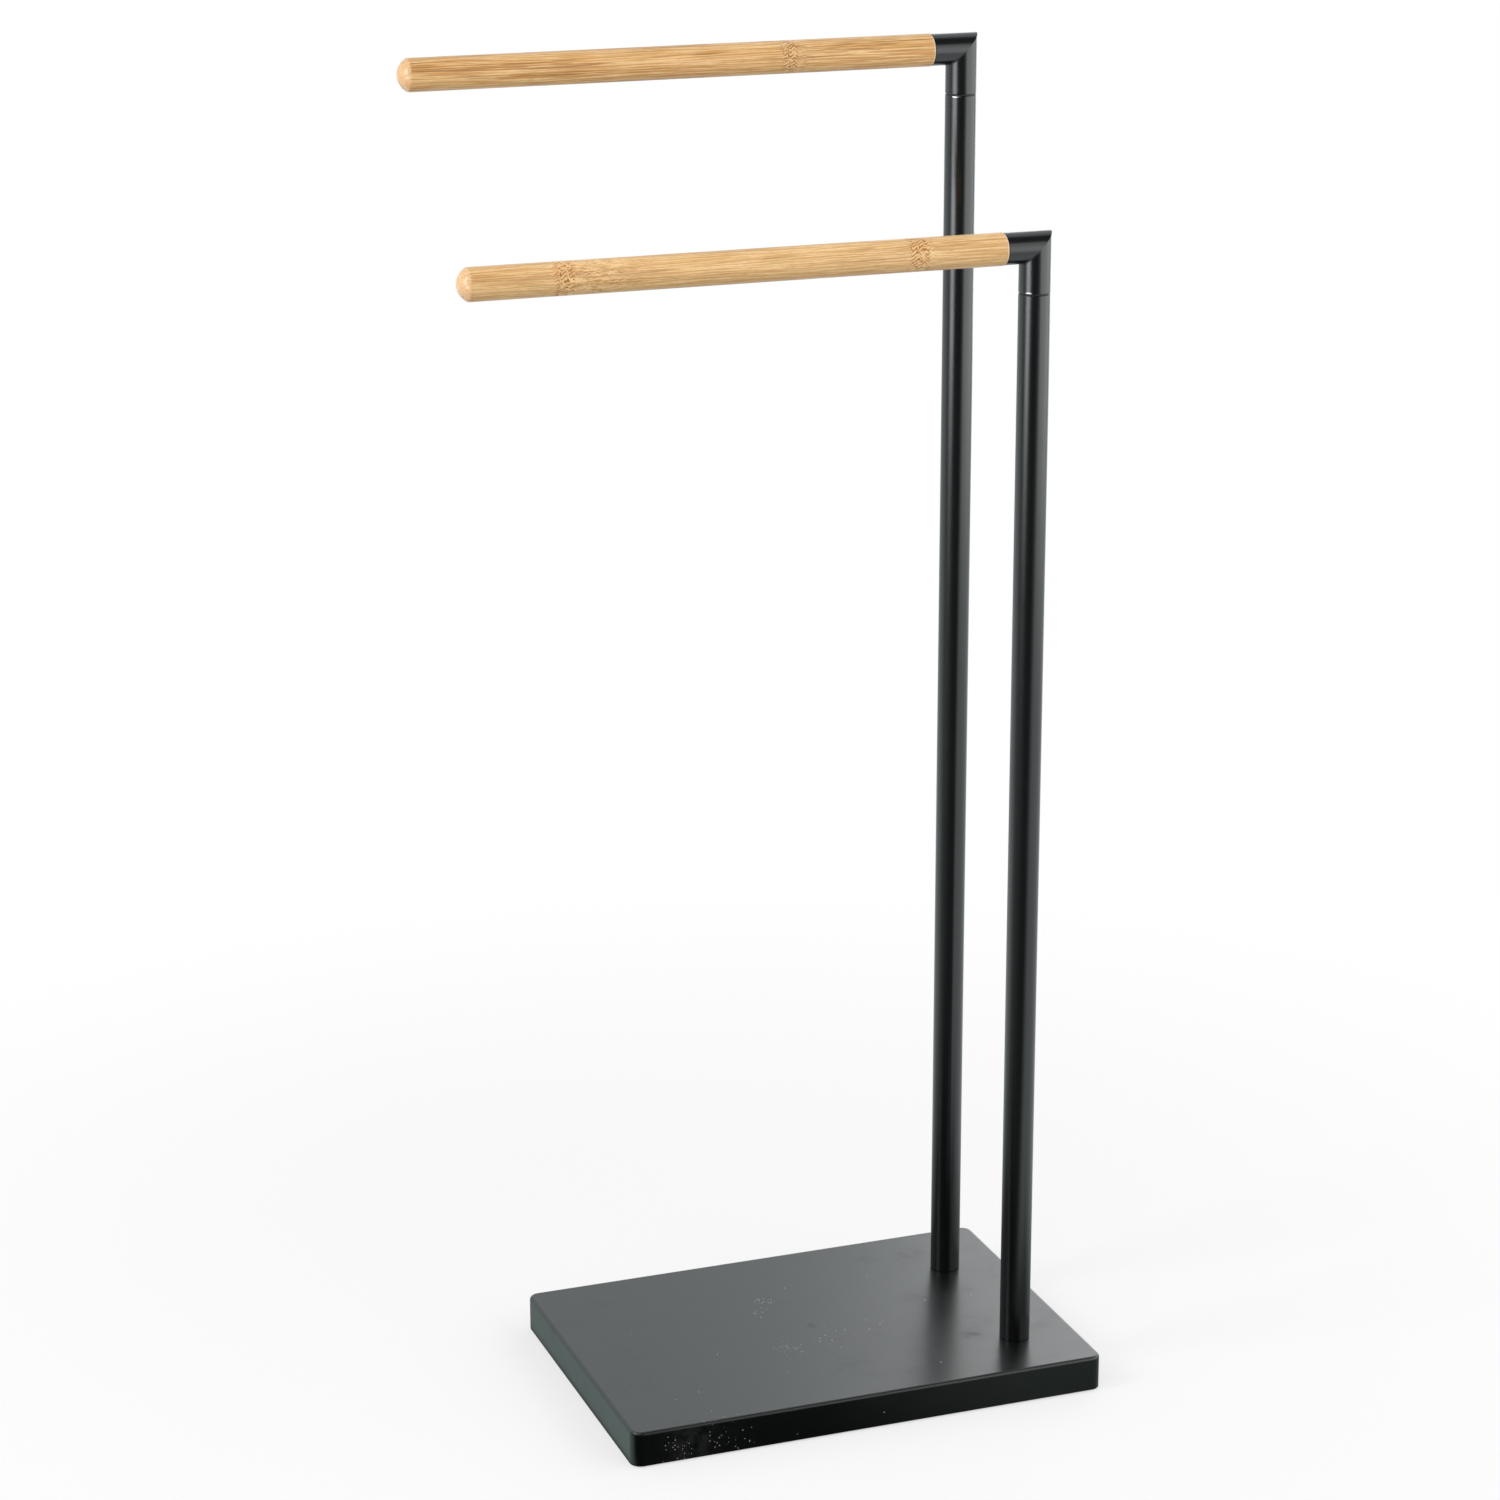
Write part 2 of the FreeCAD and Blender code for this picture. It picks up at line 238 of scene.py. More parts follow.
    def sweep(self, path, places, radius, sides):
        """Moves the path's points to these places and sweeps a circle along them, of this radius at each."""
        placed = self.add("GeometryNodeSetPosition", inputs={"Geometry": path, "Position": places})
        held = self.add("GeometryNodeCaptureAttribute", {"domain": "POINT"}, {"Geometry": placed.outputs[0]})
        held.capture_items.new("FLOAT", "Ring Radius")
        self.wire(held.inputs["Ring Radius"], radius)
        circle = self.add("GeometryNodeCurvePrimitiveCircle", inputs={"Resolution": sides, "Radius": 1.0})
        swept = self.add("GeometryNodeCurveToMesh", inputs={
            "Curve": held.outputs["Geometry"],
            "Profile Curve": circle.outputs[0],
            "Scale": held.outputs["Ring Radius"],
            "Fill Caps": True,
        })
        return swept.outputs[0]

    def finish_piece(self, geometry, material):
        """Ends a geometry tree: welds the poles, smooths, realizes instances and sets the material."""
        steps = (
            ("GeometryNodeMergeByDistance", {"Distance": 0.002 * MM}),
            ("GeometryNodeSetShadeSmooth", {}),
            ("GeometryNodeRealizeInstances", {}),
            ("GeometryNodeSetMaterial", {"Material": material}),
        )
        for kind, inputs in steps:
            geometry = self.add(kind, inputs={"Geometry": geometry} | inputs).outputs[0]
        self.add("NodeGroupOutput", inputs={"Geometry": geometry})


def new_material(name, origin=(0.0, 0.0, 0.0)):
    """A new material, its graph, and the piece's own coordinates in metres, counted from origin."""
    material = bpy.data.materials.new(name)
    material.use_nodes = True
    graph = Graph(material.node_tree)
    coordinates = graph.add("ShaderNodeTexCoord").outputs["Object"]
    shift = tuple(-value for value in origin)
    mapping = graph.add("ShaderNodeMapping", inputs={"Vector": coordinates, "Location": shift})
    return material, graph, mapping.outputs["Vector"]


def surface(graph, colour, roughness, height=None, relief=0.0, plain=None):
    """Ends a material with one shader.

    relief is the height's depth in metres, and plain holds the sockets that have one value all over.
    """
    shader = graph.add("ShaderNodeBsdfPrincipled", inputs=plain)
    graph.wire(shader.inputs["Base Color"], colour)
    graph.wire(shader.inputs["Roughness"], roughness)
    if height is not None:
        bump = graph.add("ShaderNodeBump", inputs={"Strength": 1.0, "Distance": relief, "Height": height})
        graph.wire(shader.inputs["Normal"], bump.outputs["Normal"])
    graph.add("ShaderNodeOutputMaterial", inputs={"Surface": shader.outputs[0]})
    return shader


def finish_nodes(names, material):
    """Gives these CAD nodes the material in every slot they have."""
    for name in names:
        for slot in frame["nodes"][name].material_slots:
            slot.material = material


# ---- sizes and colours a user would change

COLOUR = {"subtype": "COLOR", "size": 3, "min": 0.0, "max": 1.0}
SHARE = {"subtype": "FACTOR", "min": 0.0, "max": 1.0}


class TOWELSTAND_PG_coat(bpy.types.PropertyGroup):
    """The satin black powder coat on the base, the uprights and the elbows."""

    colour: FloatVectorProperty(
        name="Colour", description="Colour of the powder coat", default=linear(6, 7, 7), **COLOUR)
    gloss_loss: FloatProperty(
        name="Base roughness", description="Roughness of the base's coat. 0 is a mirror, 1 is chalk",
        default=0.3, **SHARE)
    tube_gloss_loss: FloatProperty(
        name="Tube roughness", description="Roughness of the uprights' and elbows' coat", default=0.24,
        **SHARE)
    peel_size: FloatProperty(
        name="Orange peel size", description="Distance between the ripples of the coat", unit="LENGTH",
        default=1.6 * MM, min=0.2 * MM, precision=5)
    peel_depth: FloatProperty(
        name="Orange peel depth", description="Height of the ripples of the coat", unit="LENGTH",
        default=0.004 * MM, min=0.0, precision=6)
    # Painted glint: colour of the bare-steel arcs at the seams, where they catch the light.
    glint_steel: FloatVectorProperty(
        name="Bare steel", description="Colour of the steel where the coat is rubbed through",
        default=linear(176, 180, 186), **COLOUR)
    bead_radius: FloatProperty(
        name="Bead radius", description="Radius of the weld bead in the inner corner of an elbow",
        unit="LENGTH", default=0.7 * MM, min=0.1 * MM, precision=5)
    dust_colour: FloatVectorProperty(
        name="Dust colour", description="Colour of the specks that lie on the base",
        default=linear(198, 194, 184), **COLOUR)


class TOWELSTAND_PG_bamboo(bpy.types.PropertyGroup):
    """The two turned and lacquered bamboo bars."""

    pale: FloatVectorProperty(
        name="Pale fibre", description="Lightest colour of the grain", default=linear(250, 212, 156),
        **COLOUR)
    amber: FloatVectorProperty(
        name="Amber fibre", description="Darker colour of the fine grain", default=linear(203, 149, 86),
        **COLOUR)
    honey: FloatVectorProperty(
        name="Honey patch", description="Colour of the broad darker patches", default=linear(208, 158, 94),
        **COLOUR)
    brown: FloatVectorProperty(
        name="Brown bundle", description="Colour of the dark dashes", default=linear(140, 86, 34), **COLOUR)
    rust: FloatVectorProperty(
        name="Knot line", description="Colour of the zigzag lines at a pale bar's knot",
        default=linear(178, 106, 22), **COLOUR)
    sanded: FloatVectorProperty(
        name="Sanded end", description="Colour of the domed end", default=linear(226, 184, 140), **COLOUR)
    ivory: FloatVectorProperty(
        name="Cut end", description="Colour of the bare chamfer beside the elbow",
        default=linear(250, 226, 190), **COLOUR)
    dome_depth: FloatProperty(
        name="Dome depth", description="Length of the domed free end", unit="LENGTH", default=6 * MM,
        min=1 * MM)
    chamfer: FloatProperty(
        name="Chamfer", description="Chamfer on the end beside the elbow", unit="LENGTH", default=0.5 * MM,
        min=0.1 * MM, precision=5)
    chip_depth: FloatProperty(
        name="Chip depth", description="Depth of the chips in the front bar's sawn end", unit="LENGTH",
        default=0.35 * MM, min=0.0, precision=5)
    facets: IntProperty(
        name="Facets", description="Faces around a bar", default=96, min=24, max=256)


class TOWELSTAND_PG_hardware(bpy.types.PropertyGroup):
    """Zinc-plated steel, rubber, nylon and fibreboard."""

    zinc: FloatVectorProperty(
        name="Zinc", description="Colour of the plated bolts, washers and plugs",
        default=linear(196, 200, 204), **COLOUR)
    rubber: FloatVectorProperty(
        name="Rubber", description="Colour of the sheet under the base", default=linear(42, 42, 44),
        **COLOUR)
    nylon: FloatVectorProperty(
        name="Nylon", description="Colour of the seam washers and bushes", default=linear(30, 30, 32),
        **COLOUR)
    board: FloatVectorProperty(
        name="Fibreboard", description="Colour of the core board", default=linear(150, 112, 76), **COLOUR)


class TOWELSTAND_PG_stage(bpy.types.PropertyGroup):
    """Floor, lamps and camera."""

    lens: FloatProperty(
        name="Lens", description="Focal length in millimetres on a 36 mm sensor", default=95.65, min=10.0)
    camera_place: FloatVectorProperty(
        name="Camera place", description="Where the camera stands", subtype="XYZ", unit="LENGTH", size=3,
        default=(-0.8411, -2.1706, 1.1169))
    camera_yaw: FloatProperty(
        name="Camera yaw", description="Turn to the right of +Y", subtype="ANGLE",
        default=math.radians(20.256))
    camera_pitch: FloatProperty(
        name="Camera pitch", description="Tilt below the horizon", subtype="ANGLE",
        default=math.radians(16.972))
    camera_roll: FloatProperty(
        name="Camera roll", description="Tilt of the picture", subtype="ANGLE",
        default=math.radians(-0.105))
    floor: FloatVectorProperty(
        name="Floor", description="Colour of the floor", default=(0.9, 0.9, 0.9), **COLOUR)
    left_lamp: FloatProperty(
        name="Left strip",
        description="Brightness of the low strip light on the left, with its grid, where 1 is white",
        default=10.0, min=0.0)
    left_softbox: FloatProperty(
        name="Left softbox", description="Brightness of the small softbox on the left, where 1 is white",
        default=8.0, min=0.0)
    right_lamp: FloatProperty(
        name="Right softbox", description="Brightness of the softbox on the right, where 1 is white",
        default=1.4, min=0.0)
    top_lamp: FloatProperty(
        name="Top softbox", description="Brightness of the softbox above the left side, where 1 is white",
        default=2.0, min=0.0)
    back_lamp: FloatProperty(
        name="Back softbox",
        description="Brightness of the softbox behind the right side, where 1 is white", default=1.55,
        min=0.0)
    room: FloatProperty(
        name="Room light", description="Brightness of the room all round, where 1 is white", default=0.5,
        min=0.0)
    floor_bounce: FloatProperty(
        name="Floor bounce", description="How much light the floor throws back up", default=0.4, **SHARE)
    floor_lift: FloatProperty(
        name="Floor lift", description="Share of plain white in the floor beside the object", default=0.6,
        **SHARE)


# ---- powder coat

CRUMB_SPACING = 1.5 * MM
# Share of the pattern's cells that hold a crumb everywhere on the base.
STRAY_CRUMBS = 0.0015
# How finely the coat's patterns change, in patches a metre.
GLOSS_PATCHES, SHADE_PATCHES, WIPED_PATCHES, TORN_PATCHES = 22.0, 9.0, 45.0, 150.0
# Painted glints at the seams: arcs of bare metallic steel, placed where the seams' rims catch the light.
# Each holds its centre, angle from the front (-Y) towards the right (+X) and half the arc's width, both in
# degrees, and half its height. The rear one is on the upright's rim and the front one on the neck's.
GLINT_ARCS = (
    (ELBOWS["rear"].above_seam(-0.6 * MM), -41.0, 21.0, 0.5 * MM),
    (ELBOWS["front"].above_seam(1.4 * MM), -44.0, 15.0, 0.6 * MM),
)


def on_top(x, y):
    """A place on the base's top, given in millimetres."""
    return (x * MM, y * MM, BASE_HIGH.z)


def on_front(x, z):
    """A place on the base's front face, given in millimetres."""
    return (x * MM, BASE_LOW.y, z * MM)


# Patches of crumbs on the base: centre, radius in millimetres and how dense the patch is.
CRUMBS = (
    (on_top(-15, 44), 10, 0.55),
    (on_top(-24, 27), 9, 0.60),
    (on_top(-26, -28), 16, 0.50),
    (on_top(6, -24), 20, 0.16),
    (on_top(34, -14), 15, 0.14),
    (on_top(-66, -16), 9, 0.16),
    (on_front(-127, 10), 15, 0.60),
    (on_front(-92, 6), 28, 0.30),
)
# Single specks: place and radius in millimetres.
SPECKS = (
    (on_top(83, 8), 0.8),
    (on_top(114, 5), 0.6),
    (on_top(57, -80), 0.7),
)
# Rubbed patches where the coat is duller: centre, radius in millimetres and how dull.
SMUDGES = (
    (on_top(98, 75), 16, 0.40),
    (on_top(71, 80), 11, 0.30),
    (on_top(0, -2), 6, 0.60),
    (on_top(94, -50), 15, 0.35),
    (on_top(-130, -43), 28, 0.30),
    (on_top(-2, -64), 22, 0.25),
    (on_front(-118, 10), 28, 0.90),
)


def coat_relief(graph, place, look):
    """Height of the coat's ripples, 0 to 1, with a finer grain on them."""
    ripples = graph.noise(place, 1.0 / look.peel_size, detail=1.0)
    grain = graph.noise(place, 5.0 / look.peel_size, detail=2.0)
    return graph.times_plus(grain, 0.35, ripples)


def near_patches(graph, place, patches):
    """How much of the patches lies here: each patch's strength at its centre, falling to 0 at its radius."""
    layers = []
    for centre, radius, strength in patches:
        layers.append(graph.ramp(graph.distance(place, centre), 0.0, radius * MM, strength, 0.0))
    return graph.sum(layers)


def dust_on_base(graph, place):
    """1 on a crumb of dust and 0 on clean coat. Each cell of the pattern holds one crumb or none."""
    cells = graph.add("ShaderNodeTexVoronoi", inputs={"Vector": place, "Scale": 1.0 / CRUMB_SPACING})
    chance, size = graph.parts(cells.outputs["Color"])[:2]
    level = graph.plus(near_patches(graph, place, CRUMBS), STRAY_CRUMBS)
    held = graph.math("LESS_THAN", chance, level)
    smallest, larger = 0.18, 0.22
    edge = graph.times_plus(size, larger, smallest)
    crumb = graph.ramp(cells.outputs["Distance"], edge, graph.times(edge, 0.6))
    layers = [graph.times(crumb, held)]
    for spot, radius in SPECKS:
        layers.append(graph.ramp(graph.distance(place, spot), radius * MM, radius * 0.4 * MM))
    return graph.capped(graph.sum(layers))


def painted_glint_arcs(graph, place):
    """1 on the short bright arcs at the seams, a painted glint of bare metallic steel."""
    layers = []
    for centre, angle, half_width, half_height in GLINT_ARCS:
        x, y, z = graph.parts(graph.vector("SUBTRACT", place, centre))
        around = graph.math("ARCTAN2", x, graph.times(y, -1.0))
        apart = graph.math("ABSOLUTE", graph.minus(around, math.radians(angle)))
        share = graph.math("DIVIDE", apart, math.radians(half_width))
        thin = graph.times(graph.minus(1.0, graph.times(share, share)), half_height)
        layers.append(graph.ramp(graph.minus(thin, graph.math("ABSOLUTE", z)), 0.0, 0.12 * MM))
    return graph.capped(graph.sum(layers))


def coat_material(name, look, gloss_loss, used=False, glinting=False):
    """Satin black powder coat: ripples, and small changes of gloss and shade.

    used adds the base's smudges and dust, and glinting the arcs of bare steel at the seams, a painted glint.
    """
    material, graph, place = new_material(name)
    height = coat_relief(graph, place, look)
    drift = graph.noise(place, GLOSS_PATCHES, detail=3.0)
    roughness = graph.times_plus(drift, 0.08, gloss_loss - 0.04)
    shade = graph.noise(place, SHADE_PATCHES, detail=2.0)
    lighter = tuple(value * 1.35 for value in look.colour)
    colour = graph.blend(shade, look.colour, lighter)
    if used:
        torn = graph.ramp(graph.noise(place, TORN_PATCHES, detail=4.0), 0.30, 0.70)
        smudge = graph.times(near_patches(graph, place, SMUDGES), torn)
        faint = graph.ramp(graph.noise(place, WIPED_PATCHES, detail=5.0, roughness=0.65), 0.5, 0.72)
        dull = graph.times_plus(faint, 0.12, smudge)
        dust = dust_on_base(graph, place)
        colour = graph.blend(graph.times(dust, 0.85), colour, look.dust_colour)
        roughness = graph.times_plus(dull, 0.35, roughness)
        roughness = graph.times_plus(dust, 0.4, roughness)
        height = graph.times_plus(dust, 6.0, height)
    shader = surface(graph, colour, roughness, height, look.peel_depth, {"Specular IOR Level": 0.75})
    # Painted glint: bare metallic steel on the short arcs at the seams.
    if glinting:
        bare = painted_glint_arcs(graph, place)
        graph.wire(shader.inputs["Base Color"], graph.blend(bare, colour, look.glint_steel))
        graph.wire(shader.inputs["Metallic"], bare)
    return material


class TOWELSTAND_OT_coat_metal(bpy.types.Operator):
    """Powder-coats the base cover, the uprights and the elbows"""

    bl_idname = "towelstand.coat_metal"
    bl_label = "Powder-coat the steel"

    def execute(self, context):
        look = context.scene.towelstand_coat
        finish_nodes(["base_cover"], coat_material("base_powder_coat", look, look.gloss_loss, used=True))
        tubes = coat_material("tube_powder_coat", look, look.tube_gloss_loss, glinting=True)
        for arm in BARS:
            finish_nodes([arm + "_upright_tube", arm + "_elbow_neck", arm + "_elbow_arm"], tubes)
        return {"FINISHED"}


def mitre_bead_tree():
    """Geometry nodes for a coated weld bead along the mitre's inner half, thickest at its middle."""
    tree = bpy.data.node_groups.new("mitre_bead", "GeometryNodeTree")
    graph = Graph(tree)
    given = graph.inputs_of(("Axis X", "Axis Y", "Corner Z", "Tube Radius", "Bead Radius"))
    rings, sides, thinnest = 72, 12, 0.02 * MM
    fullness, weld_waves, wave_depth = 0.8, 95.0, 0.05
    path, share = graph.rings(rings)
    angle = graph.times_plus(share, math.pi, math.pi / 2)
    across = graph.times(graph.math("COSINE", angle), given["Tube Radius"])
    side = graph.times(graph.math("SINE", angle), given["Tube Radius"])
    places = graph.joined(
        graph.plus(given["Axis X"], across),
        graph.plus(given["Axis Y"], side),
        graph.plus(given["Corner Z"], graph.minus(across, given["Tube Radius"])),
    )
    inner = graph.math("MAXIMUM", graph.times(graph.math("COSINE", angle), -1.0), 0.0)
    wave = graph.math("SINE", graph.times(share, weld_waves))
    ripple = graph.times_plus(wave, wave_depth, 1.0 - wave_depth)
    thickness = graph.times(graph.times(graph.math("POWER", inner, fullness), ripple), given["Bead Radius"])
    bead = graph.sweep(path, places, graph.math("MAXIMUM", thickness, thinnest), sides)
    graph.finish_piece(bead, given["Material"])
    return tree


class TOWELSTAND_OT_lay_mitre_beads(bpy.types.Operator):
    """Lays the coated weld bead in the inner corner of each mitred elbow"""

    bl_idname = "towelstand.lay_mitre_beads"
    bl_label = "Lay the mitre beads"

    def execute(self, context):
        look = context.scene.towelstand_coat
        tree = mitre_bead_tree()
        for arm, elbow in ELBOWS.items():
            piece = grow_piece(arm + "_mitre_bead", tree, {
                "Axis X": elbow.axis_x,
                "Axis Y": elbow.axis_y,
                "Corner Z": elbow.corner_z,
                "Tube Radius": elbow.radius,
                "Bead Radius": look.bead_radius,
                "Material": bpy.data.materials["tube_powder_coat"],
            })
            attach(piece, arm + "_arm")
        return {"FINISHED"}


# ---- hardware

def zinc_material(look):
    """Zinc plate: fine spangle, turning marks and duller patches."""
    material, graph, place = new_material("zinc_plate")
    spangle = graph.noise(place, 700.0, detail=2.0)
    patches = graph.noise(place, 90.0, detail=3.0)
    squashed = graph.vector("MULTIPLY", place, (300.0, 300.0, 6000.0))
    turning = graph.noise(squashed, 1.0, detail=1.0)
    darker = tuple(value * 0.72 for value in look.zinc)
    colour = graph.blend(graph.ramp(patches, 0.35, 0.7), look.zinc, darker)
    roughness = graph.times_plus(spangle, 0.22, 0.2)
    surface(graph, colour, roughness, graph.plus(spangle, turning), 0.006 * MM, {"Metallic": 1.0})
    return material


def rubber_material(look):
    """Rubber sheet: a pebbled face with worn, paler high spots."""
    material, graph, place = new_material("base_rubber")
    pebbles = graph.add("ShaderNodeTexVoronoi", {"feature": "SMOOTH_F1"}, {"Vector": place, "Scale": 900.0})
    pebble = graph.minus(1.0, pebbles.outputs["Distance"])
    wear = graph.noise(place, 30.0, detail=4.0)
    paler = tuple(value * 2.0 for value in look.rubber)
    colour = graph.blend(graph.ramp(wear, 0.45, 0.75, 0.0, 0.6), look.rubber, paler)
    roughness = graph.times_plus(wear, 0.2, 0.68)
    surface(graph, colour, roughness, pebble, 0.08 * MM, {"Specular IOR Level": 0.35})
    return material


def nylon_material(look):
    """Moulded nylon: a fine spark-eroded grain."""
    material, graph, place = new_material("black_nylon_grain")
    grain = graph.noise(place, 2600.0, detail=3.0)
    flow = graph.noise(place, 120.0, detail=2.0)
    colour = graph.blend(flow, look.nylon, tuple(value * 1.5 for value in look.nylon))
    roughness = graph.times_plus(grain, 0.2, 0.4)
    surface(graph, colour, roughness, grain, 0.01 * MM, {"Specular IOR Level": 0.45})
    return material


def board_material(look):
    """Fibreboard: pressed fibres in every direction, paler and darker."""
    material, graph, place = new_material("core_fibreboard")
    pressed = graph.vector("MULTIPLY", place, (1.0, 1.0, 3.0))
    fibres = graph.noise(pressed, 800.0, detail=4.0, roughness=0.7, distortion=1.5)
    clouds = graph.noise(place, 60.0, detail=2.0)
    darker = tuple(value * 0.6 for value in look.board)
    colour = graph.blend(graph.ramp(fibres, 0.3, 0.7), darker, look.board)
    colour = graph.blend(graph.times(clouds, 0.35), colour, darker)
    surface(graph, colour, 0.85, fibres, 0.05 * MM, {"Specular IOR Level": 0.2})
    return material


class TOWELSTAND_OT_finish_hardware(bpy.types.Operator):
    """Gives bolts, washers, plugs, bushes, the rubber sheet and the core board their own finishes"""

    bl_idname = "towelstand.finish_hardware"
    bl_label = "Finish the hardware"

    def execute(self, context):
        look = context.scene.towelstand_hardware
        finishes = {
            "zinc_steel": zinc_material(look),
            "black_rubber": rubber_material(look),
            "black_nylon": nylon_material(look),
            "fibreboard": board_material(look),
        }
        used = set()
        for node, slot in slots_of_nodes().items():
            if slot in finishes:
                finish_nodes([node], finishes[slot])
                used.add(slot)
        if used != set(finishes):
            raise RuntimeError("no node takes " + ", ".join(sorted(set(finishes) - used)))
        return {"FINISHED"}


def slots_of_nodes():
    """The record's material slot of each CAD node."""
    return {part["node"]: part["material_slot"] for part in frame["record"]["subparts"]}


# ---- bamboo

# At a knot the fibres lie as a herringbone: its rows round the bar, the length of one zigzag and its slope.
KNOT_ROWS, ZIGZAG_LENGTH, ZIGZAG_SLOPE = 28, 4.6 * MM, 0.8


def knot_masks(graph, along, knots):
    """Masks along the bar: tight at each knot, and wide over its wake, where the grain is wavy and short."""
    tight = [graph.hill(along, x, width) for x, width, wake in knots]
    wide = [graph.hill(along, x + wake * 0.5, wake * 0.75) for x, width, wake in knots]
    return graph.capped(graph.sum(tight)), graph.capped(graph.sum(wide))


def bent_grain(graph, place, bar, at_knot, at_wake):
    """The bar's coordinates turned about its axis, so that fibres zigzag at a knot and wander elsewhere."""
    up = graph.parts(place)[2]
    wander = graph.sway(graph.vector("MULTIPLY", place, (7.0, 40.0, 40.0)), 1.0, detail=1.0)
    curl = graph.sway(place, 420.0, detail=1.5)
    curl_size = graph.plus(graph.times(at_knot, 0.6), graph.times(at_wake, 0.3))
    spread = graph.times(graph.times(up, 0.30 / bar.radius), at_knot)
    turn = graph.sum([graph.times(wander, 0.08), graph.times(curl, curl_size), spread])
    turned = graph.add("ShaderNodeVectorRotate", {"rotation_type": "X_AXIS"}, {
        "Vector": place,
        "Angle": turn,
    })
    return turned.outputs["Vector"]


def herringbone(graph, place, bar):
    """Thin slanting dashes that zigzag along the bar, in rows round it. They are cut out of a knot's mask."""
    along, across, up = graph.parts(place)
    around = graph.math("ARCTAN2", up, graph.times(across, -1.0))
    drift = graph.sway(place, 230.0, detail=1.5)
    shifted = graph.times_plus(drift, 6.0 * MM, along)
    fold = graph.math("PINGPONG", shifted, ZIGZAG_LENGTH / 2)
    row_height = 2 * math.pi * bar.radius / KNOT_ROWS
    rows = graph.times(around, KNOT_ROWS / (2 * math.pi))
    phase = graph.sum([
        rows,
        graph.times(fold, ZIGZAG_SLOPE / row_height),
        graph.times(drift, 2.6),
    ])
    off_row = graph.math("ABSOLUTE", graph.minus(graph.math("FRACT", phase), 0.5))
    dash = graph.ramp(off_row, 0.24, 0.12)
    return graph.times(dash, graph.ramp(graph.noise(place, 330.0, detail=1.0), 0.37, 0.46))


def bamboo_material(name, bar, look, tone):
    """Lacquered solid bamboo: fibres along the bar, brown bundles, knots, a sanded dome and a bare cut end.

    tone from 0 to 1 makes the rod more amber. The pattern is solid, so it runs on through the ends.
    """
    material, graph, place = new_material(name, (0.0, bar.axis_y, bar.axis_z))
    along = graph.parts(place)[0]
    at_knot, at_wake = knot_masks(graph, along, bar.knots)
    bent = bent_grain(graph, place, bar, at_knot, at_wake)

    def stretched(length, width):
        return graph.vector("MULTIPLY", bent, (1.0 / length, 1.0 / width, 1.0 / width))

    fine = graph.noise(stretched(36 * MM, 0.62 * MM), 1.0, detail=1.0)
    wide = graph.noise(stretched(70 * MM, 1.2 * MM), 1.0, detail=1.0)
    broad = graph.noise(stretched(130 * MM, 6 * MM), 1.0, detail=2.0)
    short = graph.noise(stretched(5 * MM, 0.5 * MM), 1.0, detail=1.0)
    waved = graph.times(graph.minus(short, fine), graph.times(at_wake, 0.6))
    fine = graph.plus(fine, waved)
    cells = graph.add("ShaderNodeTexVoronoi", {"feature": "F1"}, {
        "Vector": stretched(26 * MM, 0.9 * MM),
        "Scale": 1.0,
    })
    bundles = graph.ramp(cells.outputs["Distance"], 0.38, 0.24)
    bundles = graph.times(bundles, graph.ramp(broad, 0.42, 0.56, 0.3, 1.0))
    contour = graph.noise(stretched(260 * MM, 3.2 * MM), 1.0, detail=1.0)
    threads = graph.ramp(graph.math("ABSOLUTE", graph.minus(contour, 0.5)), 0.034, 0.012)
    threads = graph.times(threads, graph.ramp(broad, 0.42, 0.50))

    colour = graph.blend(graph.ramp(fine, 0.41, 0.59, 0.0, 0.52 + 0.38 * tone), look.pale, look.amber)
    colour = graph.blend(graph.ramp(wide, 0.42, 0.58, 0.0, 0.05 + 0.20 * tone), colour, look.amber)
    colour = graph.blend(graph.ramp(short, 0.5, 0.66, 0.0, 0.35), colour, look.amber)
    colour = graph.blend(graph.ramp(broad, 0.40, 0.62, 0.1 * tone, 0.08 + 0.2 * tone), colour, look.honey)
    colour = graph.blend(graph.times(at_wake, 0.3), colour, look.pale)
    dark = graph.math("MAXIMUM", graph.times(bundles, 0.8), threads)
    colour = graph.blend(graph.times(dark, 0.25 + 0.42 * tone), colour, look.brown)

    # A knot: a herringbone of orange-brown dashes on pale wood, and short dashes in the wake.
    colour = graph.blend(graph.ramp(at_knot, 0.2, 0.8, 0.0, 0.3), colour, look.pale)
    dashes = graph.times(herringbone(graph, place, bar), graph.ramp(at_knot, 0.1, 0.45))
    flecks = graph.times(graph.ramp(short, 0.58, 0.64), graph.ramp(at_wake, 0.2, 0.9, 0.0, 0.5))
    squiggles = graph.math("MAXIMUM", dashes, flecks)
    knot_line = graph.blend(0.7 * tone, look.rust, look.brown)
    colour = graph.blend(graph.times(squiggles, 0.95), colour, knot_line)

    # The dome is sanded smooth, and the bare chamfer beside the elbow is ivory.
    on_dome = graph.ramp(along, bar.tip + look.dome_depth + 0.15 * MM, bar.tip + look.dome_depth - 0.25 * MM)
    on_cut = graph.ramp(along, bar.end - 0.95 * MM, bar.end - 0.7 * MM)
    colour = graph.blend(graph.times(on_dome, 0.65), colour, look.sanded)
    colour = graph.blend(graph.times(on_cut, 0.85), colour, look.ivory)

    roughness = graph.times_plus(fine, 0.14, 0.34)
    roughness = graph.plus(roughness, graph.times(on_cut, 0.3))
    roughness = graph.minus(roughness, graph.times(on_dome, 0.25))
    pores = graph.times(graph.plus(dark, squiggles), 0.8)
    gloss = {"Specular IOR Level": 0.3, "Coat Weight": 0.15, "Coat Roughness": 0.16}
    surface(graph, colour, roughness, graph.minus(fine, pores), 0.02 * MM, gloss)
    return material


